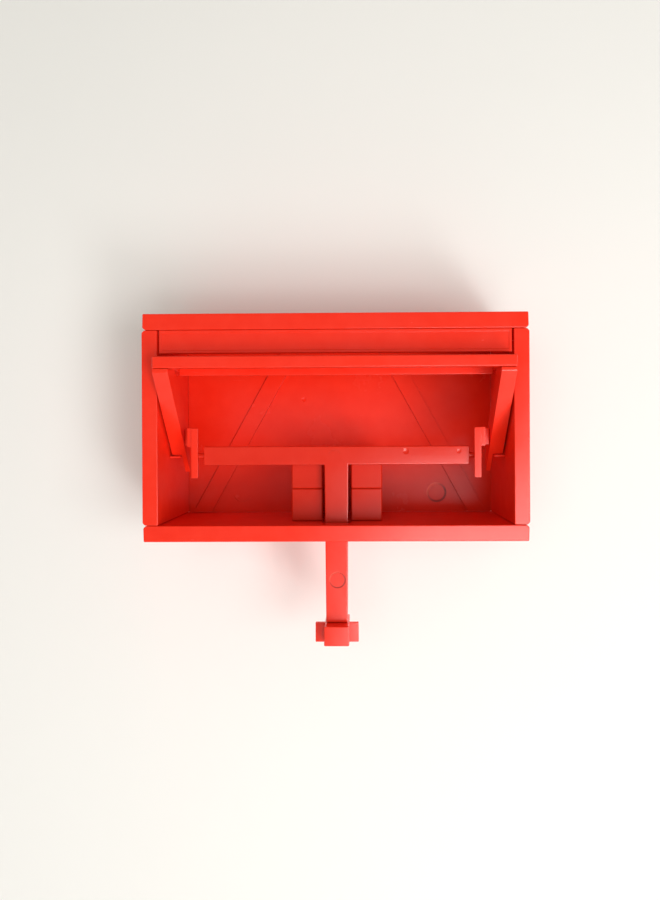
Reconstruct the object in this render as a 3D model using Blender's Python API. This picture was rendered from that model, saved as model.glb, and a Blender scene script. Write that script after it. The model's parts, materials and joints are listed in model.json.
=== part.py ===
"""Wall-hung paper box with a tipping flap and a pull-down T-lever.

Metres, +Z up, +X to the right, the open side faces -Y. The origin is the centre of the rear face that
rests on the wall. Depths are measured from the open rim towards the wall. Touching pieces keep GAP.
"""
import math

import bmesh
import bpy
from mathutils import Matrix, Vector

MM = 0.001

# Driving dimensions
WIDTH = 400 * MM
HEIGHT = 236 * MM
DEPTH = 132 * MM
PLATE_T = 17 * MM
WALL_T = 16 * MM
BACK_T = 4 * MM
GAP = 0.3 * MM

# Housing
REAR_SETBACK = 0.5 * MM          # walls and plates stop this far short of the wall plane
NOTCH = 2.5 * MM                 # chamfers that meet as V-notches at the corners
PLATE_INSET = 0.7 * MM           # plate ends stand inside the side walls' outer faces
PLATE_DRAFT = 0.4 * MM           # moulding draft on the plate ends
RIB_TOP_X = 55.5 * MM
RIB_FOOT_X = 166 * MM
RIB_W = 19 * MM
RIB_H = 2.5 * MM
RIB_END_GAP = 0.5 * MM
HEADER_H = 24 * MM
HEADER_T = 6 * MM
HEADER_SIDE_GAP = 2 * MM
HEADER_SETBACK = 0.5 * MM
HEADER_RIM = 3 * MM
HEADER_RECESS = 0.8 * MM

# Guides and stops
GUIDE_X = (15.5 * MM, 49 * MM)
GUIDE_DEPTH = 37 * MM
GUIDE_SPLIT_Z = -66 * MM
GUIDE_TOP_Z = -30 * MM
STOP_DEPTH = (45 * MM, 66 * MM)
STOP_Z = (-32.5 * MM, -30.5 * MM)
STOP_REACH = 12 * MM

# Flap
FLAP_HALF_W = 182.4 * MM
CHEEK_T = 16 * MM
FLAP_TOP_Z = 71.5 * MM
RAIL_DEPTH = (-23 * MM, -11 * MM)
RAIL_H = 12 * MM
FLAP_REAR_DEPTH = 66 * MM
CHEEK_NOSE_Z = 55 * MM
CHEEK_TIP_Z = -49 * MM
CHEEK_STEP_Z = -29 * MM
CHEEK_WEB_T = 5 * MM
CHEEK_FLANGE_Z = 60 * MM         # underside of the flange that carries the panel
CHEEK_REAR_TOP_DEPTH = 4 * MM    # the arm's rear edge runs from here down to the rear depth
CHEEK_REAR_LOW_Z = -14 * MM
PANEL_T = 5 * MM
PANEL_RIB_T = 4 * MM
PANEL_RIB_Z = 55.7 * MM
PANEL_RIB_DEPTH = 20 * MM
PANEL_LIP_Z = 62 * MM

# Flap hinge
PIVOT_DEPTH = 54 * MM
PIVOT_Z = -18 * MM
PIVOT_R = 3.5 * MM
PIVOT_HEAD_R = 7 * MM
PIVOT_HEAD_T = 3 * MM
BUSH_R = 6 * MM
BUSH_LENGTH = 11.5 * MM

# Lever
BAR_HALF_W = 141.7 * MM
BAR_Z = (-39.6 * MM, -20 * MM)
LEVER_DEPTH = (24 * MM, 34 * MM)
STEM_BACK_DEPTH = 46 * MM
STEM_HALF_W = 12.7 * MM
STEM_END_HALF_W = 11.5 * MM
STEM_END_Z = -207.9 * MM
SPINE_HALF_W = 10.4 * MM
SPIGOT_HALF_W = 8 * MM
SPIGOT_L = 13 * MM
SPIGOT_ROOT = 6 * MM
SLOT_SIDE_GAP = 2 * MM           # room round the stem where it passes the bottom plate
SLOT_DEPTH_GAP = 3 * MM
END_PIN_R = 3 * MM
END_PIN_SOCKET = 14 * MM
END_PIN_TIP_X = 155.5 * MM
END_PIN_CHAMFER = 0.6 * MM

# Hook arms
HOOK_LEG_X = (145.3 * MM, 152.5 * MM)
HOOK_BLOCK_X = (145.8 * MM, 157.2 * MM)
HOOK_BLOCK_DEPTH = (15.3 * MM, 54 * MM)
HOOK_BLOCK_Z = (-20 * MM, 0 * MM)
HOOK_BRIDGE_DEPTH = (42 * MM, 53.5 * MM)
HOOK_BRIDGE_Z = (-19 * MM, -1 * MM)
HOOK_LEG_DEPTH = (13.8 * MM, 42 * MM)
HOOK_LEG_Z = (-53 * MM, -0.5 * MM)
HOOK_TAPER = 0.22                # the inner faces lean outwards towards the rear by this slope
HOOK_SLOT_R = 3.9 * MM
LEVER_PER_RADIAN = 25 * MM       # lever travel for each radian the flap turns
FLAP_CLOSED = math.radians(-4)
FLAP_OPEN = math.radians(30)

# Grip
GRIP_BLOCK_HALF_W = 13.2 * MM
GRIP_BLOCK_DEPTH = (9.5 * MM, 60.5 * MM)
GRIP_WING_REACH = 23.1 * MM
GRIP_WING_DEPTH = (25.5 * MM, 30.5 * MM)
GRIP_Z = (-229 * MM, -208.2 * MM)

# Fasteners
HEAD_SINK = 0.5 * MM             # screw and pin heads lie this far below the surface
SCREW_R = 1.8 * MM
SCREW_HEAD_R = 4 * MM
SCREW_HEAD_T = 2.4 * MM
SCREW_LENGTH = 28 * MM
SCREW_DEPTHS = (24 * MM, 108 * MM)
SCREW_X = 191 * MM
RECESS_W = 1.2 * MM
RECESS_L = 4.4 * MM
RECESS_T = 1.3 * MM

ROUND = 24
OVERCUT = 5 * MM

INNER_X = WIDTH / 2 - WALL_T
INNER_Z = HEIGHT / 2 - PLATE_T
REAR_Y = -REAR_SETBACK
LEVER_MID_DEPTH = (LEVER_DEPTH[0] + STEM_BACK_DEPTH) / 2

RED = (0.74, 0.022, 0.010, 1)
RED_INNER = (0.66, 0.018, 0.009, 1)
STEEL = (0.55, 0.55, 0.56, 1)
ACETAL = (0.82, 0.80, 0.74, 1)


def y_at(depth):
    """Y coordinate of a depth measured from the open rim."""
    return depth - DEPTH


def clear_scene():
    for obj in list(bpy.data.objects):
        bpy.data.objects.remove(obj, do_unlink=True)


def make_material(name, colour, roughness, metallic=0.0):
    mat = bpy.data.materials.new(name)
    mat.use_nodes = True
    shader = mat.node_tree.nodes["Principled BSDF"]
    shader.inputs["Base Color"].default_value = colour
    shader.inputs["Roughness"].default_value = roughness
    shader.inputs["Metallic"].default_value = metallic
    mat.diffuse_color = colour
    return mat


def add_object(name, bm, finish=None):
    """Turn a bmesh into an object; finish is (colour, roughness, metallic)."""
    bmesh.ops.recalc_face_normals(bm, faces=bm.faces)
    mesh = bpy.data.meshes.new(name)
    bm.to_mesh(mesh)
    bm.free()
    obj = bpy.data.objects.new(name, mesh)
    bpy.context.collection.objects.link(obj)
    if finish:
        mesh.materials.append(make_material(name + "_finish", *finish))
    return obj


def box(name, x, y, z, finish=None):
    """A block between two X, two Y and two Z values."""
    bm = bmesh.new()
    bmesh.ops.create_cube(bm, size=1)
    size = Vector((abs(x[1] - x[0]), abs(y[1] - y[0]), abs(z[1] - z[0])))
    centre = Vector((sum(x) / 2, sum(y) / 2, sum(z) / 2))
    bmesh.ops.scale(bm, vec=size, verts=bm.verts)
    bmesh.ops.translate(bm, vec=centre, verts=bm.verts)
    return add_object(name, bm, finish)


def prism(name, corners, sweep, finish=None):
    """A flat outline of 3-D corners, swept along a vector."""
    bm = bmesh.new()
    face = bm.faces.new([bm.verts.new(corner) for corner in corners])
    swept = bmesh.ops.extrude_face_region(bm, geom=[face])
    moved = [item for item in swept["geom"] if isinstance(item, bmesh.types.BMVert)]
    bmesh.ops.translate(bm, vec=sweep, verts=moved)
    return add_object(name, bm, finish)


def turned(name, profile, origin, axis, finish=None):
    """A round piece: (distance along the axis, radius) steps joined by rings, with flat ends."""
    bm = bmesh.new()
    turn = Vector(axis).to_track_quat("Z", "Y").to_matrix().to_4x4()
    place = Matrix.Translation(origin) @ turn
    rings = []
    for along, radius in profile:
        ring = []
        for step in range(ROUND):
            angle = 2 * math.pi * step / ROUND
            point = Vector((radius * math.cos(angle), radius * math.sin(angle), along))
            ring.append(bm.verts.new(place @ point))
        rings.append(ring)
    for lower, upper in zip(rings, rings[1:]):
        for step in range(ROUND):
            after = (step + 1) % ROUND
            bm.faces.new((lower[step], lower[after], upper[after], upper[step]))
    bm.faces.new(rings[0])
    bm.faces.new(rings[-1])
    obj = add_object(name, bm, finish)
    obj.data.shade_smooth()
    obj.data.set_sharp_from_angle(angle=math.radians(35))
    return obj


def soften(obj, width, segments=2):
    """Round the sharp edges."""
    mod = obj.modifiers.new("soften", "BEVEL")
    mod.width = width
    mod.segments = segments
    mod.limit_method = "ANGLE"
    mod.angle_limit = math.radians(30)
    return obj


def combine(obj, tool, operation):
    """Boolean with a tool object that stays out of the model."""
    tool.hide_render = True
    tool.display_type = "WIRE"
    mod = obj.modifiers.new(tool.name, "BOOLEAN")
    mod.operation = operation
    mod.object = tool
    mod.solver = "EXACT"
    return obj


def cut(obj, tool):
    return combine(obj, tool, "DIFFERENCE")


def join(obj, tool):
    return combine(obj, tool, "UNION")


def hold(obj, axis_empty):
    """Parent to a joint's empty without moving the piece."""
    obj.parent = axis_empty
    obj.matrix_parent_inverse = Matrix.Translation(-axis_empty.location)
    return obj


def joint_empty(name, location):
    empty = bpy.data.objects.new(name, None)
    empty.location = location
    bpy.context.collection.objects.link(empty)
    return empty


def spans(side, near, far):
    """The X pair of a piece that lies between two distances from the middle, on one side."""
    return tuple(sorted((side * near, side * far)))


def side_name(side, piece):
    return ("left_" if side < 0 else "right_") + piece


# Housing

def plate(name, side):
    """Top (side 1) or bottom (side -1) plate, with screw holes into the side walls."""
    half = WIDTH / 2 - PLATE_INSET
    inner, outer = side * (INNER_Z + GAP), side * HEIGHT / 2
    notch_z = inner + side * NOTCH
    outline = [
        (-half + NOTCH, inner), (half - NOTCH, inner), (half, notch_z),
        (half - PLATE_DRAFT, outer), (-half + PLATE_DRAFT, outer), (-half, notch_z),
    ]
    corners = [(x, y_at(0), z) for x, z in outline]
    obj = prism(name, corners, (0, REAR_Y - y_at(0), 0), (RED, 0.3, 0.0))
    soften(obj, 0.9 * MM)
    for x, depth in screw_places():
        cut(obj, screw_hole(name + "_hole", (x, y_at(depth), outer), -side))
    return obj


def side_wall(side):
    """Side wall with chamfered ends, blind screw holes and the stepped hole for the pivot pin."""
    name = side_name(side, "side_wall")
    face, outer = side * INNER_X, side * WIDTH / 2
    chamfer_x = outer - side * NOTCH
    outline = [
        (face, -INNER_Z), (chamfer_x, -INNER_Z), (outer, -INNER_Z + NOTCH),
        (outer, INNER_Z - NOTCH), (chamfer_x, INNER_Z), (face, INNER_Z),
    ]
    corners = [(x, y_at(0), z) for x, z in outline]
    obj = prism(name, corners, (0, REAR_Y - y_at(0), 0), (RED, 0.3, 0.0))
    soften(obj, 0.9 * MM)
    for x, depth in screw_places():
        if x * side > 0:
            for end in (-1, 1):
                mouth = (x, y_at(depth), end * HEIGHT / 2)
                cut(obj, screw_hole(name + "_hole", mouth, -end))
    profile = pivot_profile(GAP)
    origin = (outer, y_at(PIVOT_DEPTH), PIVOT_Z)
    cut(obj, turned(name + "_pivot_hole", profile, origin, (-side, 0, 0)))
    return obj


def back_panel():
    """Rear wall with two diagonal ribs on its inner face."""
    half_w, half_h = INNER_X - GAP, INNER_Z
    obj = box("back_panel", (-half_w, half_w), (-BACK_T, 0), (-half_h, half_h), (RED_INNER, 0.35, 0.0))
    slope = math.atan2(RIB_FOOT_X - RIB_TOP_X, 2 * half_h)
    half_run = RIB_W / 2 / math.cos(slope)
    end_z = half_h - RIB_END_GAP
    for side in (-1, 1):
        outline = [
            (side * (RIB_TOP_X - half_run), end_z), (side * (RIB_TOP_X + half_run), end_z),
            (side * (RIB_FOOT_X + half_run), -end_z), (side * (RIB_FOOT_X - half_run), -end_z),
        ]
        corners = [(x, -BACK_T - RIB_H, z) for x, z in outline]
        join(obj, prism(side_name(side, "rib"), corners, (0, RIB_H + BACK_T / 2, 0)))
    return obj


def header_panel():
    """Front strip under the top plate, with a shallow framed face."""
    half = INNER_X - HEADER_SIDE_GAP
    z = (INNER_Z - HEADER_H, INNER_Z)
    front = y_at(HEADER_SETBACK)
    obj = box("header_panel", (-half, half), (front, y_at(HEADER_T)), z, (RED, 0.3, 0.0))
    soften(obj, 0.6 * MM)
    inner = half - HEADER_RIM
    mouth = (front - OVERCUT, front + HEADER_RECESS)
    recess = box("header_recess", (-inner, inner), mouth, (z[0] + HEADER_RIM, z[1] - HEADER_RIM))
    return cut(obj, recess)


def guide(side):
    """Block beside the stem, and the pad that stands on it."""
    x = spans(side, *GUIDE_X)
    y = (y_at(GUIDE_DEPTH), -BACK_T - GAP)
    half_gap = GAP / 2
    block_z = (-INNER_Z, GUIDE_SPLIT_Z - half_gap)
    pad_z = (GUIDE_SPLIT_Z + half_gap, GUIDE_TOP_Z)
    soften(box(side_name(side, "guide_block"), x, y, block_z, (RED_INNER, 0.35, 0.0)), 1.2 * MM)
    soften(box(side_name(side, "guide_pad"), x, y, pad_z, (RED_INNER, 0.32, 0.0)), 1.2 * MM)


def stop_ledge(side):
    """Ledge just under the cheek's flat step, where the closed flap comes to rest."""
    x = spans(side, INNER_X - STOP_REACH, INNER_X - GAP)
    y = tuple(y_at(depth) for depth in STOP_DEPTH)
    soften(box(side_name(side, "stop_ledge"), x, y, STOP_Z, (RED_INNER, 0.35, 0.0)), 0.5 * MM)


# Screws and pins

def screw_places():
    return [(side * SCREW_X, depth) for side in (-1, 1) for depth in SCREW_DEPTHS]


def screw_profile(extra):
    """Steps of a screw from its outer end inwards; extra widens it into the hole it sits in."""
    head = HEAD_SINK + SCREW_HEAD_T
    start = -OVERCUT if extra else HEAD_SINK
    return [
        (start, SCREW_HEAD_R + extra), (head + extra, SCREW_HEAD_R + extra),
        (head + extra, SCREW_R + extra), (SCREW_LENGTH + extra, SCREW_R + extra),
    ]


def screw_hole(name, mouth, inward):
    return turned(name, screw_profile(GAP), mouth, (0, 0, inward))


def screw(name, mouth, inward):
    """Pan-head screw, its head just below the surface, with a cross recess."""
    obj = turned(name, screw_profile(0), mouth, (0, 0, inward), (STEEL, 0.3, 1.0))
    x, y, z = mouth
    top = z + inward * HEAD_SINK
    depth = tuple(sorted((top - inward * OVERCUT, top + inward * RECESS_T)))
    long_half, short_half = RECESS_L / 2, RECESS_W / 2
    for half_x, half_y in ((long_half, short_half), (short_half, long_half)):
        cut(obj, box(name + "_recess", (x - half_x, x + half_x), (y - half_y, y + half_y), depth))
    return obj


def pivot_profile(extra):
    """Steps of the pivot pin from the outer face inwards; extra widens it into its hole."""
    head = HEAD_SINK + PIVOT_HEAD_T
    start = -OVERCUT if extra else HEAD_SINK
    end = WIDTH / 2 - FLAP_HALF_W + BUSH_LENGTH - HEAD_SINK
    return [
        (start, PIVOT_HEAD_R + extra), (head + extra, PIVOT_HEAD_R + extra),
        (head + extra, PIVOT_R + extra), (end + extra, PIVOT_R + extra),
    ]


def pivot_pin(side):
    origin = (side * WIDTH / 2, y_at(PIVOT_DEPTH), PIVOT_Z)
    turned(side_name(side, "pivot_pin"), pivot_profile(0), origin, (-side, 0, 0), (STEEL, 0.25, 1.0))


# Flap

def flap_rail(axis):
    z = (FLAP_TOP_Z - RAIL_H, FLAP_TOP_Z)
    y = tuple(y_at(depth) for depth in RAIL_DEPTH)
    obj = box("flap_rail", (-FLAP_HALF_W, FLAP_HALF_W), y, z, (RED, 0.28, 0.0))
    hold(soften(obj, 1.2 * MM), axis)


def flap_panel(axis):
    """Panel behind the rail, with a front lip, a deep rib and a rear lip underneath."""
    half = FLAP_HALF_W - CHEEK_T - GAP
    front = RAIL_DEPTH[1] + GAP
    under = FLAP_TOP_Z - PANEL_T
    rib_front, rib_back = PANEL_RIB_DEPTH, PANEL_RIB_DEPTH + PANEL_RIB_T
    lip_front = FLAP_REAR_DEPTH - PANEL_RIB_T
    outline = [
        (front, FLAP_TOP_Z), (front, PANEL_LIP_Z), (front + PANEL_RIB_T, PANEL_LIP_Z),
        (front + PANEL_RIB_T, under), (rib_front, under), (rib_front, PANEL_RIB_Z),
        (rib_back, PANEL_RIB_Z), (rib_back, under), (lip_front, under),
        (lip_front, PANEL_LIP_Z), (FLAP_REAR_DEPTH, PANEL_LIP_Z), (FLAP_REAR_DEPTH, FLAP_TOP_Z),
    ]
    corners = [(-half, y_at(depth), z) for depth, z in outline]
    obj = prism("flap_panel", corners, (2 * half, 0, 0), (RED_INNER, 0.32, 0.0))
    soften(obj, 0.5 * MM)
    hold(obj, axis)


def cheek(side, axis):
    """Slanted side arm under a flange: thick down to a flat step, then a thin inner web to its tip."""
    name = side_name(side, "cheek")
    behind_rail = RAIL_DEPTH[1] + GAP
    below_rail = FLAP_TOP_Z - RAIL_H - GAP
    outline = [
        (behind_rail, FLAP_TOP_Z), (behind_rail, below_rail), (RAIL_DEPTH[0], below_rail),
        (RAIL_DEPTH[0], CHEEK_NOSE_Z), (FLAP_REAR_DEPTH, CHEEK_TIP_Z),
        (FLAP_REAR_DEPTH, CHEEK_REAR_LOW_Z), (CHEEK_REAR_TOP_DEPTH, CHEEK_FLANGE_Z),
        (FLAP_REAR_DEPTH, CHEEK_FLANGE_Z), (FLAP_REAR_DEPTH, FLAP_TOP_Z),
    ]
    inner = side * (FLAP_HALF_W - CHEEK_T)
    corners = [(inner, y_at(depth), z) for depth, z in outline]
    obj = prism(name, corners, (side * CHEEK_T, 0, 0), (RED, 0.3, 0.0))
    soften(obj, 0.9 * MM)
    x = spans(side, FLAP_HALF_W - CHEEK_T + CHEEK_WEB_T, FLAP_HALF_W + OVERCUT)
    y = (y_at(0), y_at(FLAP_REAR_DEPTH) + OVERCUT)
    cut(obj, box(name + "_step", x, y, (CHEEK_TIP_Z - OVERCUT, CHEEK_STEP_Z)))
    hole = [(-OVERCUT, BUSH_R + GAP), (BUSH_LENGTH + GAP, BUSH_R + GAP)]
    origin = (side * FLAP_HALF_W, y_at(PIVOT_DEPTH), PIVOT_Z)
    cut(obj, turned(name + "_bush_hole", hole, origin, (-side, 0, 0)))
    hold(obj, axis)


def pivot_bush(side, axis):
    name = side_name(side, "pivot_bush")
    origin = (side * FLAP_HALF_W, y_at(PIVOT_DEPTH), PIVOT_Z)
    inward = (-side, 0, 0)
    outside = [(GAP, BUSH_R), (BUSH_LENGTH, BUSH_R)]
    bore = [(-OVERCUT, PIVOT_R + GAP), (BUSH_LENGTH + OVERCUT, PIVOT_R + GAP)]
    obj = turned(name, outside, origin, inward, (ACETAL, 0.4, 0.0))
    cut(obj, turned(name + "_bore", bore, origin, inward))
    hold(obj, axis)


def slot_ends():
    """Where the end pin stands in the flap's own frame at the closed and the open limit."""
    pin_depth = sum(LEVER_DEPTH) / 2 - PIVOT_DEPTH
    pin_z = sum(BAR_Z) / 2 - PIVOT_Z
    ends = []
    for angle in (FLAP_CLOSED, FLAP_OPEN):
        drop = pin_z - LEVER_PER_RADIAN * angle
        depth = pin_depth * math.cos(angle) + drop * math.sin(angle)
        height = drop * math.cos(angle) - pin_depth * math.sin(angle)
        ends.append((PIVOT_DEPTH + depth, PIVOT_Z + height))
    return ends


def hook_slot(name, side):
    """Cutter for the slot, an obround along the pin's path."""
    (start_d, start_z), (end_d, end_z) = slot_ends()
    heading = math.atan2(end_z - start_z, end_d - start_d)
    x_near, x_far = HOOK_LEG_X[0] - OVERCUT, HOOK_LEG_X[1] + OVERCUT
    corners = []
    for centre_d, centre_z, first in ((end_d, end_z, -90), (start_d, start_z, 90)):
        for step in range(ROUND // 2 + 1):
            angle = heading + math.radians(first + 360 * step / ROUND)
            depth = centre_d + HOOK_SLOT_R * math.cos(angle)
            height = centre_z + HOOK_SLOT_R * math.sin(angle)
            corners.append((side * x_near, y_at(depth), height))
    return prism(name, corners, (side * (x_far - x_near), 0, 0))


def hook_lump(name, side, x, depths, z, finish=None):
    """Upright block whose inner face leans outwards towards the rear."""
    front, back = (y_at(depth) for depth in depths)
    rear_x = x[0] + HOOK_TAPER * (depths[1] - depths[0])
    outline = [(x[0], front), (x[1], front), (x[1], back), (rear_x, back)]
    corners = [(side * across, y, z[0]) for across, y in outline]
    return soften(prism(name, corners, (0, 0, z[1] - z[0]), finish), 0.8 * MM)


def hook_arm(side, axis):
    """Block bridged to the cheek's inner face, with a leg that holds the lever's end pin."""
    name = side_name(side, "hook_arm")
    obj = hook_lump(name, side, HOOK_BLOCK_X, HOOK_BLOCK_DEPTH, HOOK_BLOCK_Z, (RED, 0.3, 0.0))
    join(obj, hook_lump(name + "_leg", side, HOOK_LEG_X, HOOK_LEG_DEPTH, HOOK_LEG_Z))
    reach = spans(side, HOOK_BLOCK_X[1] - 2 * MM, FLAP_HALF_W - CHEEK_T - GAP)
    bridge_y = tuple(y_at(depth) for depth in HOOK_BRIDGE_DEPTH)
    join(obj, soften(box(name + "_bridge", reach, bridge_y, HOOK_BRIDGE_Z), 0.8 * MM))
    cut(obj, hook_slot(name + "_slot", side))
    hold(obj, axis)


# Lever

def lever_tee(axis):
    """Crossbar and tapered stem in one plate, with a spine behind the stem and a spigot at its end."""
    low, high = BAR_Z
    outline = [
        (-BAR_HALF_W, high), (-BAR_HALF_W, low), (-STEM_HALF_W, low), (-STEM_END_HALF_W, STEM_END_Z),
        (STEM_END_HALF_W, STEM_END_Z), (STEM_HALF_W, low), (BAR_HALF_W, low), (BAR_HALF_W, high),
    ]
    front, back = (y_at(depth) for depth in LEVER_DEPTH)
    corners = [(x, front, z) for x, z in outline]
    obj = prism("lever_tee", corners, (0, back - front, 0), (RED, 0.28, 0.0))
    soften(obj, 1.2 * MM)
    spine_y = (back - 2 * MM, y_at(STEM_BACK_DEPTH))
    spine_x = (-SPINE_HALF_W, SPINE_HALF_W)
    spine = box("lever_spine", spine_x, spine_y, (STEM_END_Z + 1 * MM, high - 3 * MM))
    join(obj, soften(spine, 1 * MM))
    middle = y_at(LEVER_MID_DEPTH)
    spigot_y = (middle - SPIGOT_HALF_W, middle + SPIGOT_HALF_W)
    spigot_z = (STEM_END_Z - SPIGOT_L, STEM_END_Z + SPIGOT_ROOT)
    join(obj, box("lever_spigot", (-SPIGOT_HALF_W, SPIGOT_HALF_W), spigot_y, spigot_z))
    cut(obj, screw_hole("lever_screw_hole", (0, middle, GRIP_Z[0]), 1))
    for side in (-1, 1):
        hole = [(-OVERCUT, END_PIN_R + GAP), (END_PIN_SOCKET + GAP, END_PIN_R + GAP)]
        cut(obj, turned("lever_pin_hole", hole, end_pin_root(side), (-side, 0, 0)))
    hold(obj, axis)


def end_pin_root(side):
    """Centre of the crossbar's end face."""
    return (side * BAR_HALF_W, y_at(sum(LEVER_DEPTH) / 2), sum(BAR_Z) / 2)


def end_pin(side, axis):
    reach, tip = END_PIN_TIP_X - BAR_HALF_W, END_PIN_CHAMFER
    profile = [(-END_PIN_SOCKET, END_PIN_R), (reach - tip, END_PIN_R), (reach, END_PIN_R - tip)]
    obj = turned(side_name(side, "end_pin"), profile, end_pin_root(side), (side, 0, 0), (RED, 0.3, 0.0))
    hold(obj, axis)


def cross_grip(axis):
    """Block along the depth with a thin wing on each side, and a socket for the stem's spigot."""
    half = GRIP_BLOCK_HALF_W
    block_y = tuple(y_at(depth) for depth in GRIP_BLOCK_DEPTH)
    obj = box("cross_grip", (-half, half), block_y, GRIP_Z, (RED, 0.3, 0.0))
    soften(obj, 1.2 * MM)
    wing_y = tuple(y_at(depth) for depth in GRIP_WING_DEPTH)
    wings = box("grip_wings", (-GRIP_WING_REACH, GRIP_WING_REACH), wing_y, GRIP_Z)
    join(obj, soften(wings, 0.8 * MM))
    middle = y_at(LEVER_MID_DEPTH)
    socket = SPIGOT_HALF_W + GAP
    floor = STEM_END_Z - SPIGOT_L - GAP
    y = (middle - socket, middle + socket)
    cut(obj, box("grip_socket", (-socket, socket), y, (floor, GRIP_Z[1] + OVERCUT)))
    cut(obj, screw_hole("grip_screw_hole", (0, middle, GRIP_Z[0]), 1))
    hold(obj, axis)


def grip_screw(axis):
    obj = screw("grip_screw", (0, y_at(LEVER_MID_DEPTH), GRIP_Z[0]), 1)
    hold(obj, axis)


def build():
    clear_scene()
    flap_axis = joint_empty("flap_axis", (0, y_at(PIVOT_DEPTH), PIVOT_Z))
    lever_axis = joint_empty("lever_axis", (0, y_at(LEVER_MID_DEPTH), 0))

    back_panel()
    plate("top_plate", 1)
    bottom = plate("bottom_plate", -1)
    slot_x = (-STEM_HALF_W - SLOT_SIDE_GAP, STEM_HALF_W + SLOT_SIDE_GAP)
    slot_y = (y_at(LEVER_DEPTH[0] - SLOT_DEPTH_GAP), y_at(STEM_BACK_DEPTH + SLOT_DEPTH_GAP))
    cut(bottom, box("lever_slot", slot_x, slot_y, (-HEIGHT / 2 - OVERCUT, -INNER_Z + OVERCUT)))
    header_panel()

    number = 1
    for end in (1, -1):
        for x, depth in screw_places():
            screw(f"housing_screw_{number}", (x, y_at(depth), end * HEIGHT / 2), -end)
            number += 1

    flap_rail(flap_axis)
    flap_panel(flap_axis)
    lever_tee(lever_axis)
    cross_grip(lever_axis)
    grip_screw(lever_axis)
    for side in (-1, 1):
        side_wall(side)
        guide(side)
        stop_ledge(side)
        pivot_pin(side)
        cheek(side, flap_axis)
        pivot_bush(side, flap_axis)
        hook_arm(side, flap_axis)
        end_pin(side, lever_axis)
    bpy.context.view_layer.update()


build()
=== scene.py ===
"""Looks of the wall-hung paper box: moulded red plastic with some painted shade and highlight, its surface
marks, a pale wall and soft light.
"""
import json
import math

import bmesh
import bpy
from mathutils import Matrix, Vector


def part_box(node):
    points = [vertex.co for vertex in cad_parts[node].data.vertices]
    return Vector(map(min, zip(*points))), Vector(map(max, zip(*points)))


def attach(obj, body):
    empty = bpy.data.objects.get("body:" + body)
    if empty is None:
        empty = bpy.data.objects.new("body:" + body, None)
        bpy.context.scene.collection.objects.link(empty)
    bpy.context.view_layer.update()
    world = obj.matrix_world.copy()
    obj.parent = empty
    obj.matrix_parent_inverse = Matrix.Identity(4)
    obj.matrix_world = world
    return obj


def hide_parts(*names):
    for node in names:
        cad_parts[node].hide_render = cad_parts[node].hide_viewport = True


# Lengths are in metres; sizes on the part are written in millimetres times MM
MM = 0.001
MOULD_RADIUS = 0.5 * MM
GUIDE_RADIUS = 1.1 * MM                     # the guides have softer edges than the shell
WEAR_RADIUS = 1.3 * MM                      # how far scuffs reach in from an edge
GUIDE_GAP = 0.3 * MM                        # between the guide blocks and the back panel

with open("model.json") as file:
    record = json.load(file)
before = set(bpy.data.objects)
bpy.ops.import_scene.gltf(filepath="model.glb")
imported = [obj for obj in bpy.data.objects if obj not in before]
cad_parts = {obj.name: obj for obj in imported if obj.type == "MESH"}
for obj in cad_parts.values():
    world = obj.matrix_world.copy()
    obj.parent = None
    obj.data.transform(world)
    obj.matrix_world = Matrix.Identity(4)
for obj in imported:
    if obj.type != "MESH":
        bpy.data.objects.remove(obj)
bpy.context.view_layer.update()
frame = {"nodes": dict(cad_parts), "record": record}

HOUSING_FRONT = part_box("right_side_wall")[0].y
PANEL_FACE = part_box("left_guide_block")[1].y + GUIDE_GAP
STEM_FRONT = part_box("lever_tee")[0].y

# Moulded plastic colours, linear
RED = (0.92, 0.030, 0.010)
RED_DEEP = (0.86, 0.022, 0.006)
RED_BRIGHT = (0.94, 0.037, 0.014)
RED_PALE = (0.95, 0.080, 0.045)
# Painted shade and painted highlight of the ejector circles
RING_PAINTED_SHADE = (0.30, 0.004, 0.001)
RING_PAINTED_HIGHLIGHT = (0.98, 0.16, 0.10)


# Node helpers

def new_material(name):
    """An empty Principled material with its nodes and links."""
    mat = bpy.data.materials.new(name)
    mat.use_nodes = True
    return mat, mat.node_tree.nodes, mat.node_tree.links


def value_ramp(nodes, low, high, dark=0.0, light=1.0):
    """A ramp from dark at low to light at high."""
    ramp = nodes.new("ShaderNodeMapRange")
    ramp.inputs["From Min"].default_value = low
    ramp.inputs["From Max"].default_value = high
    ramp.inputs["To Min"].default_value = dark
    ramp.inputs["To Max"].default_value = light
    return ramp


def noise(nodes, links, coords, scale, detail=4.0, roughness=0.55, stretch=(1, 1, 1), turn=(0, 0, 0)):
    """Fractal noise, stretched and turned in object space."""
    mapping = nodes.new("ShaderNodeMapping")
    mapping.inputs["Scale"].default_value = stretch
    mapping.inputs["Rotation"].default_value = turn
    texture = nodes.new("ShaderNodeTexNoise")
    texture.inputs["Scale"].default_value = scale
    texture.inputs["Detail"].default_value = detail
    texture.inputs["Roughness"].default_value = roughness
    links.new(coords, mapping.inputs["Vector"])
    links.new(mapping.outputs["Vector"], texture.inputs["Vector"])
    return texture.outputs["Fac"]


def mix_colour(nodes, links, factor, first, second, blend="MIX"):
    """First and second colour blended; each value is a socket, a colour or a number."""
    mix = nodes.new("ShaderNodeMix")
    mix.data_type = "RGBA"
    mix.blend_type = blend
    for socket, value in ((mix.inputs[0], factor), (mix.inputs[6], first), (mix.inputs[7], second)):
        if hasattr(value, "links"):
            links.new(value, socket)
        elif isinstance(value, tuple):
            socket.default_value = (*value, 1)
        else:
            socket.default_value = value
    return mix.outputs[2]


def maths(nodes, links, operation, first, second=0.0):
    """One maths node; each value is a socket or a number."""
    node = nodes.new("ShaderNodeMath")
    node.operation = operation
    for socket, value in zip(node.inputs, (first, second)):
        if hasattr(value, "links"):
            links.new(value, socket)
        else:
            socket.default_value = value
    return node.outputs[0]


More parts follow.
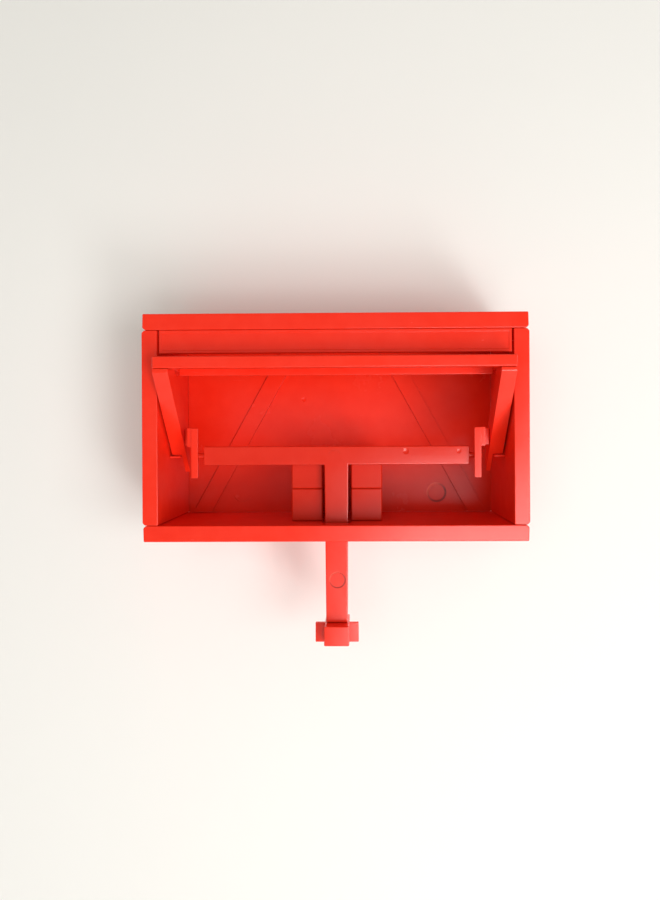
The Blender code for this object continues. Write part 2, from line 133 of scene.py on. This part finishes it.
def bump(nodes, links, height, distance, strength, below=None):
    """Relief from a height, on top of the relief below it."""
    node = nodes.new("ShaderNodeBump")
    node.inputs["Distance"].default_value = distance
    node.inputs["Strength"].default_value = strength
    links.new(height, node.inputs["Height"])
    if below is not None:
        links.new(below, node.inputs["Normal"])
    return node.outputs["Normal"]


def edge_mask(nodes, links, radius):
    """1 along worn outer edges, 0 on flats: how far a rounded normal leans from the real one."""
    bevel = nodes.new("ShaderNodeBevel")
    bevel.samples = 4
    bevel.inputs["Radius"].default_value = radius
    geometry = nodes.new("ShaderNodeNewGeometry")
    dot = nodes.new("ShaderNodeVectorMath")
    dot.operation = "DOT_PRODUCT"
    links.new(bevel.outputs["Normal"], dot.inputs[0])
    links.new(geometry.outputs["Normal"], dot.inputs[1])
    ramp = value_ramp(nodes, 0.99, 0.86)
    links.new(dot.outputs["Value"], ramp.inputs["Value"])
    return ramp.outputs["Result"]


def scratch_mask(nodes, links, coords, turn, level):
    """Sparse fine streaks, where the stretched noise rises above a level."""
    streaks = noise(nodes, links, coords, 9, 3, 0.6, (1, 1, 46), turn)
    patches = noise(nodes, links, coords, 14, 2, 0.5, turn=turn)
    thin = value_ramp(nodes, level, level + 0.03)
    links.new(streaks, thin.inputs["Value"])
    spread = value_ramp(nodes, 0.52, 0.66)
    links.new(patches, spread.inputs["Value"])
    return maths(nodes, links, "MULTIPLY", thin.outputs["Result"], spread.outputs["Result"])


def object_axes(nodes, links):
    """The object-space position, split into X, Y and Z."""
    split = nodes.new("ShaderNodeSeparateXYZ")
    links.new(nodes.new("ShaderNodeTexCoord").outputs["Object"], split.inputs[0])
    return split.outputs


def painted_height_shade(nodes, links, colour, shade_bands):
    """Painted shade by height, a darker red low in the box: each band is (mm from, mm to, strength from,
    strength to).
    """
    axes = object_axes(nodes, links)
    for low, high, first, last in shade_bands:
        ramp = value_ramp(nodes, low * MM, high * MM, first, last)
        links.new(axes["Z"], ramp.inputs["Value"])
        grey = nodes.new("ShaderNodeCombineColor")
        for socket in grey.inputs:
            links.new(ramp.outputs["Result"], socket)
        colour = mix_colour(nodes, links, 1.0, colour, grey.outputs[0], "MULTIPLY")
    return colour


def painted_ring_shading(nodes, links, colour, rings):
    """Ejector-pin circles with painted shade below right and a painted highlight above left.

    Each ring is (x, z, radius, line width, strength), the first four in millimetres.
    """
    axes = object_axes(nodes, links)
    for x, z, radius, width, strength in rings:
        across = maths(nodes, links, "SUBTRACT", axes["X"], x * MM)
        up = maths(nodes, links, "SUBTRACT", axes["Z"], z * MM)
        square = maths(nodes, links, "ADD", maths(nodes, links, "MULTIPLY", across, across),
                       maths(nodes, links, "MULTIPLY", up, up))
        off = maths(nodes, links, "SUBTRACT", maths(nodes, links, "SQRT", square), radius * MM)
        line = value_ramp(nodes, width * MM, 0.3 * width * MM, 0.0, strength)
        links.new(maths(nodes, links, "ABSOLUTE", off), line.inputs["Value"])
        lean = maths(nodes, links, "SUBTRACT", across, up)
        dark = value_ramp(nodes, -radius * MM, 0.6 * radius * MM)
        pale = value_ramp(nodes, -0.5 * radius * MM, -1.3 * radius * MM)
        for side, tint in ((dark, RING_PAINTED_SHADE), (pale, RING_PAINTED_HIGHLIGHT)):
            links.new(lean, side.inputs["Value"])
            mask = maths(nodes, links, "MULTIPLY", line.outputs["Result"], side.outputs["Result"])
            colour = mix_colour(nodes, links, mask, colour, tint)
    return colour


def shifted_coords(nodes, links, shift):
    """Object coordinates moved along, so that no two mouldings share a pattern."""
    texture = nodes.new("ShaderNodeTexCoord")
    place = nodes.new("ShaderNodeMapping")
    place.inputs["Location"].default_value = (shift, shift * 0.7, -shift)
    links.new(texture.outputs["Object"], place.inputs["Vector"])
    return place.outputs["Vector"]


def fine_scratches(nodes, links, coords, shift):
    """Two sets of sparse streaks that cross each other."""
    scratches = scratch_mask(nodes, links, coords, (0.5, 0.9, shift), 0.68)
    crossing = scratch_mask(nodes, links, coords, (1.4, 0.2, shift + 1.1), 0.69)
    return maths(nodes, links, "MAXIMUM", scratches, crossing)


def moulded_colour(nodes, links, coords, lines, shade_bands, rings):
    """Flow variation, mottle, painted shade deeper down, ejector circles in painted shade and highlight,
    scuffed edges and pale scratches.
    """
    flow = noise(nodes, links, coords, 7, 5, 0.5, (1, 1, 1.8))
    colour = mix_colour(nodes, links, flow, RED, RED_DEEP)
    mottle = value_ramp(nodes, 0.35, 0.7, 0.0, 0.5)
    links.new(noise(nodes, links, coords, 60, 3), mottle.inputs["Value"])
    colour = mix_colour(nodes, links, mottle.outputs["Result"], colour, RED_BRIGHT)
    colour = painted_ring_shading(nodes, links, painted_height_shade(nodes, links, colour, shade_bands), rings)
    edges = edge_mask(nodes, links, WEAR_RADIUS)
    worn = maths(nodes, links, "MULTIPLY", edges, noise(nodes, links, coords, 90, 4))
    colour = mix_colour(nodes, links, maths(nodes, links, "MULTIPLY", worn, 0.5), colour, RED_PALE)
    pale = maths(nodes, links, "MULTIPLY", lines, 0.05)
    return mix_colour(nodes, links, pale, colour, RED_PALE)


def moulded_roughness(nodes, links, coords, lines, middle):
    """Handling smudges around a middle roughness, a little duller in the scratches."""
    smudge = value_ramp(nodes, 0.3, 0.75, middle - 0.03, middle + 0.05)
    links.new(noise(nodes, links, coords, 18, 5, 0.6), smudge.inputs["Value"])
    return maths(nodes, links, "ADD", smudge.outputs["Result"], maths(nodes, links, "MULTIPLY", lines, 0.06))


def moulded_relief(nodes, links, coords, lines):
    """Faint sinks, orange peel and scratch depth."""
    sinks = bump(nodes, links, noise(nodes, links, coords, 22, 1), 0.4 * MM, 0.05)
    peel = bump(nodes, links, noise(nodes, links, coords, 900, 2), 0.02 * MM, 0.5, sinks)
    return bump(nodes, links, lines, -0.01 * MM, 0.2, peel)


def moulded_red(name, shift, roughness, shade_bands=(), rings=(), shine=0.5):
    """Injection-moulded ABS with its melt flow, marks of the mould and traces of use, plus painted shade low
    in the box and painted shade and highlight on the ejector circles.
    """
    mat, nodes, links = new_material(name)
    shader = nodes["Principled BSDF"]
    coords = shifted_coords(nodes, links, shift)
    lines = fine_scratches(nodes, links, coords, shift)
    links.new(moulded_colour(nodes, links, coords, lines, shade_bands, rings), shader.inputs["Base Color"])
    links.new(moulded_roughness(nodes, links, coords, lines, roughness), shader.inputs["Roughness"])
    links.new(moulded_relief(nodes, links, coords, lines), shader.inputs["Normal"])
    shader.inputs["IOR"].default_value = 1.5
    shader.inputs["Specular IOR Level"].default_value = shine
    return mat


def zinc_steel():
    """Zinc-plated steel with cloudy patches and a fine grain."""
    mat, nodes, links = new_material("zinc_steel")
    shader = nodes["Principled BSDF"]
    coords = nodes.new("ShaderNodeTexCoord").outputs["Object"]
    patches = noise(nodes, links, coords, 240, 4)
    colour = mix_colour(nodes, links, patches, (0.62, 0.62, 0.64), (0.42, 0.42, 0.43))
    links.new(colour, shader.inputs["Base Color"])
    rough = value_ramp(nodes, 0.3, 0.7, 0.22, 0.42)
    links.new(noise(nodes, links, coords, 500, 3), rough.inputs["Value"])
    links.new(rough.outputs["Result"], shader.inputs["Roughness"])
    links.new(bump(nodes, links, patches, 0.03 * MM, 0.4), shader.inputs["Normal"])
    shader.inputs["Metallic"].default_value = 1.0
    return mat


def acetal():
    """Natural acetal bush: milky, slightly waxy."""
    mat, nodes, links = new_material("natural_acetal")
    shader = nodes["Principled BSDF"]
    coords = nodes.new("ShaderNodeTexCoord").outputs["Object"]
    cloud = noise(nodes, links, coords, 180, 3)
    colour = mix_colour(nodes, links, cloud, (0.86, 0.84, 0.78), (0.74, 0.71, 0.64))
    links.new(colour, shader.inputs["Base Color"])
    shader.inputs["Roughness"].default_value = 0.42
    links.new(bump(nodes, links, cloud, 0.03 * MM, 0.3), shader.inputs["Normal"])
    return mat


# Pieces

WELD = 0.002 * MM                           # vertices closer than this are one
FLAT_ANGLE = math.radians(0.4)              # facets that lean less than this are one flat face
BEVEL_ANGLE = math.radians(35)              # edges sharper than this get the mould radius
CREASE_ANGLE = math.radians(38)             # edges sharper than this stay sharp on turned pieces
ARC_STEP = 7.5                              # degrees of a ring mark per flat

record = frame["record"]
BODY = {node: body for body, members in record["behaviour"]["bodies"].items() for node in members}
SLOT = {part["node"]: part["material_slot"] for part in record["subparts"]}


def settle(obj, node, material):
    """Give a piece its material and body, and let it stand for its CAD node."""
    obj.data.materials.clear()
    obj.data.materials.append(material)
    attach(obj, BODY[node])
    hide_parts(node)


def object_from(bm, name):
    """A linked object made from a bmesh, which is freed."""
    mesh = bpy.data.meshes.new(name)
    bm.to_mesh(mesh)
    bm.free()
    obj = bpy.data.objects.new(name, mesh)
    bpy.context.scene.collection.objects.link(obj)
    return obj


def refined_copy(node):
    """The CAD node's shape as clean flat faces, so that bevels shade round and flats stay flat."""
    bm = bmesh.new()
    bm.from_mesh(frame["nodes"][node].data)
    bmesh.ops.remove_doubles(bm, verts=bm.verts, dist=WELD)
    bmesh.ops.dissolve_limit(bm, angle_limit=FLAT_ANGLE, verts=bm.verts, edges=bm.edges)
    return object_from(bm, node + "_skin")


def apply_modifiers(obj):
    """Fix the evaluated shape in the mesh."""
    graph = bpy.context.evaluated_depsgraph_get()
    mesh = bpy.data.meshes.new_from_object(obj.evaluated_get(graph))
    obj.modifiers.clear()
    obj.data = mesh


def engrave(obj, cutters):
    """Cut the tool shapes out of a piece and remove the tools."""
    for tool in cutters:
        mod = obj.modifiers.new(tool.name, "BOOLEAN")
        mod.operation = "DIFFERENCE"
        mod.object = tool
        mod.solver = "EXACT"
    apply_modifiers(obj)
    for tool in cutters:
        bpy.data.objects.remove(tool, do_unlink=True)


def ring_cutter(centre, radius, width, depth, start=0, sweep=360):
    """A thin square-section arc, in degrees, that engraves a circle mark into a face looking along -Y."""
    bm = bmesh.new()
    steps = max(8, round(sweep / ARC_STEP))
    closed = sweep >= 360
    outer = radius + width
    columns = []
    for step in range(steps if closed else steps + 1):
        angle = math.radians(start + sweep * step / steps)
        column = []
        for along, reach in ((-depth, radius), (-depth, outer), (depth, outer), (depth, radius)):
            offset = Vector((reach * math.cos(angle), along, reach * math.sin(angle)))
            column.append(bm.verts.new(centre + offset))
        columns.append(column)
    for near, far in zip(columns, columns[1:] + (columns[:1] if closed else [])):
        for corner in range(4):
            after = (corner + 1) % 4
            bm.faces.new((near[corner], near[after], far[after], far[corner]))
    if not closed:
        bm.faces.new(columns[0])
        bm.faces.new(columns[-1])
    bmesh.ops.recalc_face_normals(bm, faces=bm.faces)
    return object_from(bm, "ring_tool")


def dent_cutter(centre, radius, depth):
    """A flattened ball that leaves a shallow dish in a face looking along -Y."""
    bm = bmesh.new()
    place = Matrix.Translation(centre) @ Matrix.Diagonal((1, depth / radius, 1, 1))
    bmesh.ops.create_uvsphere(bm, u_segments=20, v_segments=10, radius=radius, matrix=place)
    return object_from(bm, "dent_tool")


def groove_cutter(first, second, width, depth):
    """A straight slot along a line in a face looking along -Y."""
    along = (second - first).normalized()
    side = along.cross(Vector((0, 1, 0))) * width / 2
    bm = bmesh.new()
    rings = []
    for end in (first, second):
        rings.append([bm.verts.new(end + side * way + Vector((0, push, 0)))
                      for way, push in ((-1, -depth), (1, -depth), (1, depth), (-1, depth))])
    for corner in range(4):
        after = (corner + 1) % 4
        bm.faces.new((rings[0][corner], rings[0][after], rings[1][after], rings[1][corner]))
    bm.faces.new(rings[0])
    bm.faces.new(rings[1])
    bmesh.ops.recalc_face_normals(bm, faces=bm.faces)
    return object_from(bm, "groove_tool")


def round_edges(obj, radius):
    """Mould-radius edges that shade round while the flats stay flat."""
    bevel = obj.modifiers.new("mould_radius", "BEVEL")
    bevel.width = radius
    bevel.segments = 2
    bevel.limit_method = "ANGLE"
    bevel.angle_limit = BEVEL_ANGLE
    weighted = obj.modifiers.new("flat_faces_first", "WEIGHTED_NORMAL")
    weighted.keep_sharp = True


def finish_piece(node, material, radius, cutters=()):
    """One visible piece: the CAD shape with its engraved marks, edge radius and material."""
    obj = refined_copy(node)
    if cutters:
        engrave(obj, cutters)
    obj.data.shade_smooth()
    if radius:
        round_edges(obj, radius)
    else:
        obj.data.set_sharp_from_angle(angle=CREASE_ANGLE)
    settle(obj, node, material)


# Places of the marks, (x, z) in millimetres on the face that looks along -Y
PANEL_EJECTOR = (118, -78)
GATE = (-42.6, 35.8)
STEM_EJECTOR = (0.7, -162.5)
STEM_JOINT = (-1.8, -30.3)
BAR_SINK = (74.3, -25.4)
BAR_FAR_SINK = (130.3, -25.6)
RIB_TOP = (55.5, 100)                       # centre line of the right rib, mirrored for the left one
RIB_FOOT = (166, -100)
RIB_HALF = 9.5 * MM

# Circles that the material strengthens with painted shade and a painted highlight, each as (x, z, radius,
# line width, strength), the first four in millimetres
PANEL_PAINTED_RINGS = ((*PANEL_EJECTOR, 10.8, 1.7, 1.0),)
LEVER_PAINTED_RINGS = ((*STEM_EJECTOR, 8.1, 1.1, 0.7),)

# Painted shade: a deeper red low inside the box, each band as (mm from, mm to, strength from, strength to);
# the lever's second band brightens the stem and grip below the box again
LEVER_PAINTED_SHADE = ((-101, -40, 0.64, 0.80), (-118, -104, 1.5, 1.0))
GUIDE_PAINTED_SHADE = ((-101, -35, 0.62, 0.74),)
PANEL_PAINTED_SHADE = ((-70, -10, 0.76, 1.0),)


def on_face(face, place, side=1):
    """The point at (x, z) millimetres on a face, or its mirror image on side -1."""
    return Vector((side * place[0] * MM, face, place[1] * MM))


def rib_grooves():
    """Witness lines of the mould inserts beside both ribs, plainer on their left edges."""
    tools = []
    for side in (-1, 1):
        top = on_face(PANEL_FACE, RIB_TOP, side)
        foot = on_face(PANEL_FACE, RIB_FOOT, side)
        along = (foot - top).normalized()
        across = Vector((abs(along.z), 0, side * abs(along.x)))
        for way, width, depth in ((-1, 1.0 * MM, 1.5 * MM), (1, 0.5 * MM, 0.6 * MM)):
            shift = across * way * (RIB_HALF + width / 2)
            tools.append(groove_cutter(top + shift, foot + shift, width, depth))
    return tools


def panel_marks():
    """Ejector circles low on the back panel, the left one half worn away, and the gate scar."""
    right = ring_cutter(on_face(PANEL_FACE, PANEL_EJECTOR), 10.2 * MM, 1.3 * MM, 1.6 * MM)
    left = ring_cutter(on_face(PANEL_FACE, PANEL_EJECTOR, -1), 10.2 * MM, 1.0 * MM, 1.0 * MM, 200, 130)
    gate = dent_cutter(on_face(PANEL_FACE, GATE), 2.8 * MM, 0.6 * MM)
    return [right, left, gate, *rib_grooves()]


def lever_marks():
    """Ejector circle on the stem, an arc where stem meets crossbar, and sink dimples along the bar."""
    stem = ring_cutter(on_face(STEM_FRONT, STEM_EJECTOR), 7.6 * MM, 1.0 * MM, 0.9 * MM)
    joint = ring_cutter(on_face(STEM_FRONT, STEM_JOINT), 6 * MM, 1.0 * MM, 0.9 * MM, 20, 140)
    near = dent_cutter(on_face(STEM_FRONT, BAR_SINK), 3.4 * MM, 0.8 * MM)
    far = dent_cutter(on_face(STEM_FRONT, BAR_FAR_SINK), 2.6 * MM, 0.4 * MM)
    return [stem, joint, near, far]


GUIDES = [f"{side}_guide_{piece}" for side in ("left", "right") for piece in ("block", "pad")]
MARKS = {"back_panel": panel_marks, "lever_tee": lever_marks}


def build_pieces():
    """Every CAD node gets one visible piece: red mouldings, zinc-plated fasteners and pins, white bushes."""
    hardware = {"steel": zinc_steel(), "bush_white": acetal()}
    reds = {
        "housing": moulded_red("red_housing", 0.0, 0.22),
        "flap": moulded_red("red_flap", 0.37, 0.22),
        "lever": moulded_red("red_lever", 0.81, 0.21, LEVER_PAINTED_SHADE, LEVER_PAINTED_RINGS),
    }
    own_reds = dict.fromkeys(GUIDES, moulded_red("red_guides", 0.55, 0.24, GUIDE_PAINTED_SHADE, shine=0.25))
    own_reds["back_panel"] = moulded_red("red_back_panel", 0.19, 0.24, PANEL_PAINTED_SHADE, PANEL_PAINTED_RINGS, 0.22)
    for node, body in BODY.items():
        if SLOT[node] in hardware:
            finish_piece(node, hardware[SLOT[node]], 0)
            continue
        radius = GUIDE_RADIUS if node in GUIDES else MOULD_RADIUS
        cutters = MARKS[node]() if node in MARKS else ()
        finish_piece(node, own_reds.get(node, reds[body]), radius, cutters)


build_pieces()


# Wall, floor, light and camera

def stage_material(name, colour, one_sided):
    """Matt paint with a faint cloud; a one-sided sheet can't be seen from behind."""
    mat, nodes, links = new_material(name)
    shader = nodes["Principled BSDF"]
    coords = nodes.new("ShaderNodeTexCoord").outputs["Object"]
    darker = tuple(channel * 0.97 for channel in colour)
    cloud = mix_colour(nodes, links, noise(nodes, links, coords, 3, 4), colour, darker)
    links.new(cloud, shader.inputs["Base Color"])
    shader.inputs["Roughness"].default_value = 0.75
    shader.inputs["Specular IOR Level"].default_value = 0.2
    if one_sided:
        geometry = nodes.new("ShaderNodeNewGeometry")
        clear = nodes.new("ShaderNodeBsdfTransparent")
        mix = nodes.new("ShaderNodeMixShader")
        links.new(geometry.outputs["Backfacing"], mix.inputs[0])
        links.new(shader.outputs[0], mix.inputs[1])
        links.new(clear.outputs[0], mix.inputs[2])
        links.new(mix.outputs[0], nodes["Material Output"].inputs["Surface"])
    return mat


def sheet(name, corners, material):
    """One flat face of the room."""
    bm = bmesh.new()
    bm.faces.new([bm.verts.new(corner) for corner in corners])
    obj = object_from(bm, name)
    obj.data.materials.append(material)
    return obj


FLOOR_Z = -2.4
WALL_Y = 1 * MM                             # the wall stands this far behind the housing's rear face
REACH = 6.0


def build_stage():
    """A painted wall that the box hangs on and a floor far below it."""
    paint = stage_material("wall_paint", (0.90, 0.885, 0.87), True)
    ground = stage_material("floor_paint", (0.86, 0.85, 0.84), False)
    wall = sheet("wall", [(-REACH, WALL_Y, FLOOR_Z), (REACH, WALL_Y, FLOOR_Z),
                          (REACH, WALL_Y, REACH), (-REACH, WALL_Y, REACH)], paint)
    wall.visible_shadow = False
    sheet("floor", [(-REACH, -REACH, FLOOR_Z), (REACH, -REACH, FLOOR_Z),
                    (REACH, REACH, FLOOR_Z), (-REACH, REACH, FLOOR_Z)], ground)


WARM = (1.0, 0.985, 0.97)
LAMP_Y = HOUSING_FRONT - 2.0                # the lamps in front of the box stand in this plane
CENTRE = (0, HOUSING_FRONT, 0)


def area_light(name, place, target, size, power, colour=(1, 1, 1)):
    """A rectangular lamp at a place, turned to its target."""
    data = bpy.data.lights.new(name, "AREA")
    data.shape = "RECTANGLE"
    data.size, data.size_y = size
    data.energy = power
    data.color = colour
    obj = bpy.data.objects.new(name, data)
    obj.location = place
    obj.rotation_euler = (Vector(target) - Vector(place)).to_track_quat("-Z", "Y").to_euler()
    bpy.context.scene.collection.objects.link(obj)
    return obj


def build_light():
    """A window low on the right, a glow seen only as gloss, soft fills and light given back in the box."""
    area_light("window_low", (1.4, LAMP_Y, -1.8), (0.2, HOUSING_FRONT, -0.3), (0.8, 0.8), 19, WARM)
    area_light("window_mid", (0.7, LAMP_Y, -1.0), CENTRE, (1.5, 0.8), 19, WARM)
    glow = area_light("window_glow", (0.5, LAMP_Y, -0.5), CENTRE, (0.7, 0.6), 7, (1.0, 0.97, 0.98))
    glow.visible_diffuse = False
    inside = (-0.02, HOUSING_FRONT + 0.04, 0.01)
    bounce = area_light("inner_bounce", inside, (-0.02, 0, 0.035), (0.24, 0.05), 0.03)
    bounce.visible_glossy = False
    bounce.visible_camera = False
    area_light("window_top", (1.35, LAMP_Y, -0.3), CENTRE, (1.1, 0.8), 16, (1.0, 0.975, 0.955))
    soft = area_light("front_fill", (-0.3, LAMP_Y, 0.0), CENTRE, (1.4, 1.2), 7, (1.0, 0.98, 0.96))
    soft.visible_glossy = False
    area_light("rear_fill", (0.9, 2.2, 0.9), (0, 0, 0), (2.2, 1.8), 45)


def build_world():
    """Faint even light from all sides that does not mirror in the plastic."""
    world = bpy.data.worlds.new("studio")
    world.use_nodes = True
    back = world.node_tree.nodes["Background"]
    back.inputs["Color"].default_value = (0.98, 1.0, 0.88, 1)
    back.inputs["Strength"].default_value = 0.36
    bpy.context.scene.world = world
    world.cycles_visibility.glossy = False


CAMERA_PLACE = (25.9 * MM, -831.8 * MM, -9.1 * MM)
CAMERA_YAW = math.radians(0.68)
CAMERA_PITCH = math.radians(-0.14)
CAMERA_ROLL = math.radians(0.278)
CAMERA_LENS = 27.2
CAMERA_SHIFT = (-0.02488, -0.01377)


def build_camera():
    """Almost square on to the open side, slightly to the right of the middle."""
    data = bpy.data.cameras.new("view")
    data.lens = CAMERA_LENS
    data.sensor_width = 36
    data.shift_x, data.shift_y = CAMERA_SHIFT
    data.clip_start = 0.01
    cam = bpy.data.objects.new("view", data)
    cam.matrix_world = (
        Matrix.Translation(CAMERA_PLACE)
        @ Matrix.Rotation(CAMERA_YAW, 4, "Z")
        @ Matrix.Rotation(CAMERA_PITCH, 4, "X")
        @ Matrix.Rotation(CAMERA_ROLL, 4, "Y")
        @ Matrix.Rotation(math.radians(90), 4, "X")
    )
    bpy.context.scene.collection.objects.link(cam)
    bpy.context.scene.camera = cam


build_stage()
build_light()
build_world()
build_camera()
bpy.context.scene.view_settings.view_transform = "Standard"
bpy.context.view_layer.update()
